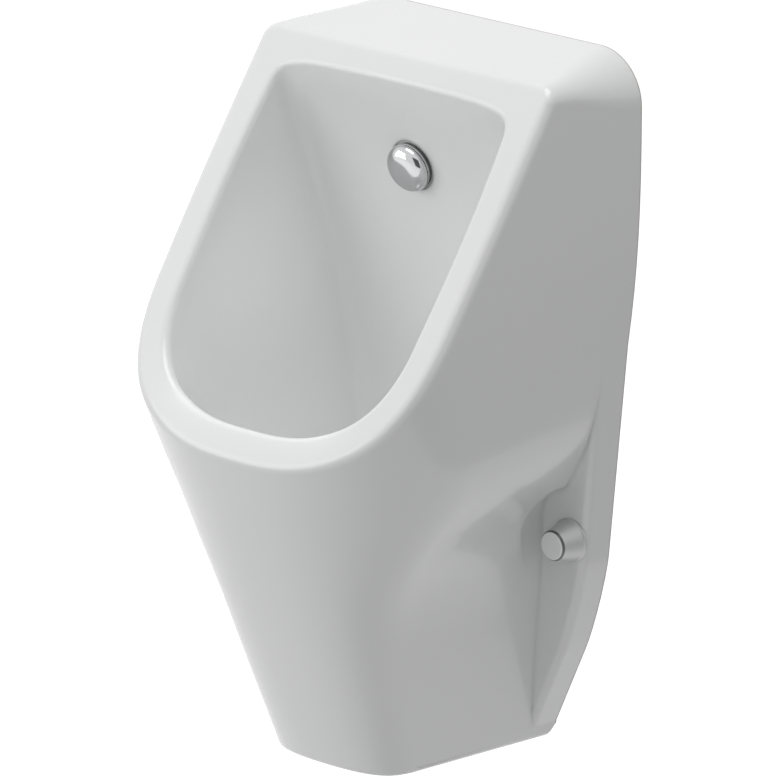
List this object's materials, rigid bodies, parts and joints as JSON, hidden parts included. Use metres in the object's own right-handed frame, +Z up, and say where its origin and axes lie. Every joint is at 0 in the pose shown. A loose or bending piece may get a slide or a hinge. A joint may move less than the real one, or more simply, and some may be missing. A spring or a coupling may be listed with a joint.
{
  "type": "wall-hung urinal",
  "caption": "Wall-hung white ceramic urinal with a sloping open mouth, domed flush nozzle, drain strainer, hidden bottle trap and capped wall bolts.",
  "frame": {"origin": "midway between the two wall bolts, in the plane of the finished wall", "axes": "+X to the right of a person who faces the bowl, +Y into the wall, +Z up"},
  "size_m": [0.3074, 0.3365, 0.5635],
  "materials": {
    "glaze": "glossy white vitreous glaze",
    "chrome_cover": "polished chrome plate",
    "strainer_steel": "polished stainless steel",
    "brass_fitting": "turned brass",
    "black_rubber": "matt black rubber",
    "clamp_steel": "bright stainless band",
    "white_plastic": "moulded white plastic",
    "grey_plastic": "grey drain pipe plastic",
    "clip_plastic": "moulded white nylon",
    "zinc_steel": "bright zinc plate"
  },
  "bodies": {
    "urinal": {"ceramic_body": "glaze", "flush_dome": "chrome_cover", "flush_nozzle": "chrome_cover", "nozzle_washer": "brass_fitting", "nozzle_back_nut": "brass_fitting", "nozzle_front_seal": "black_rubber", "nozzle_rear_gasket": "black_rubber", "inlet_connector": "black_rubber", "outlet_gasket": "black_rubber", "trap_cup_seal": "black_rubber", "outlet_pipe_seal": "black_rubber", "connector_clamp": "clamp_steel", "trap_body": "white_plastic", "trap_cup": "white_plastic", "trap_nut": "white_plastic", "trap_dip_tube": "white_plastic", "outlet_nut": "white_plastic", "outlet_pipe": "grey_plastic", "cap_clips": "clip_plastic", "bolt_sleeves": "clip_plastic", "bolt_washers": "zinc_steel", "bolt_nuts": "zinc_steel"},
    "left_cap": {"left_cap": "chrome_cover"},
    "right_cap": {"right_cap": "chrome_cover"},
    "drain_strainer": {"drain_strainer": "strainer_steel"}
  },
  "joints": [
    {"name": "left_cap_pull", "type": "slide", "parent": "urinal", "child": "left_cap", "axis": [0, -1, 0], "range_m": [0, 0.03]},
    {"name": "right_cap_pull", "type": "slide", "parent": "urinal", "child": "right_cap", "axis": [0, -1, 0], "range_m": [0, 0.03]},
    {"name": "strainer_lift", "type": "slide", "parent": "urinal", "child": "drain_strainer", "axis": [0, 0, 1], "range_m": [0, 0.1]}
  ]
}
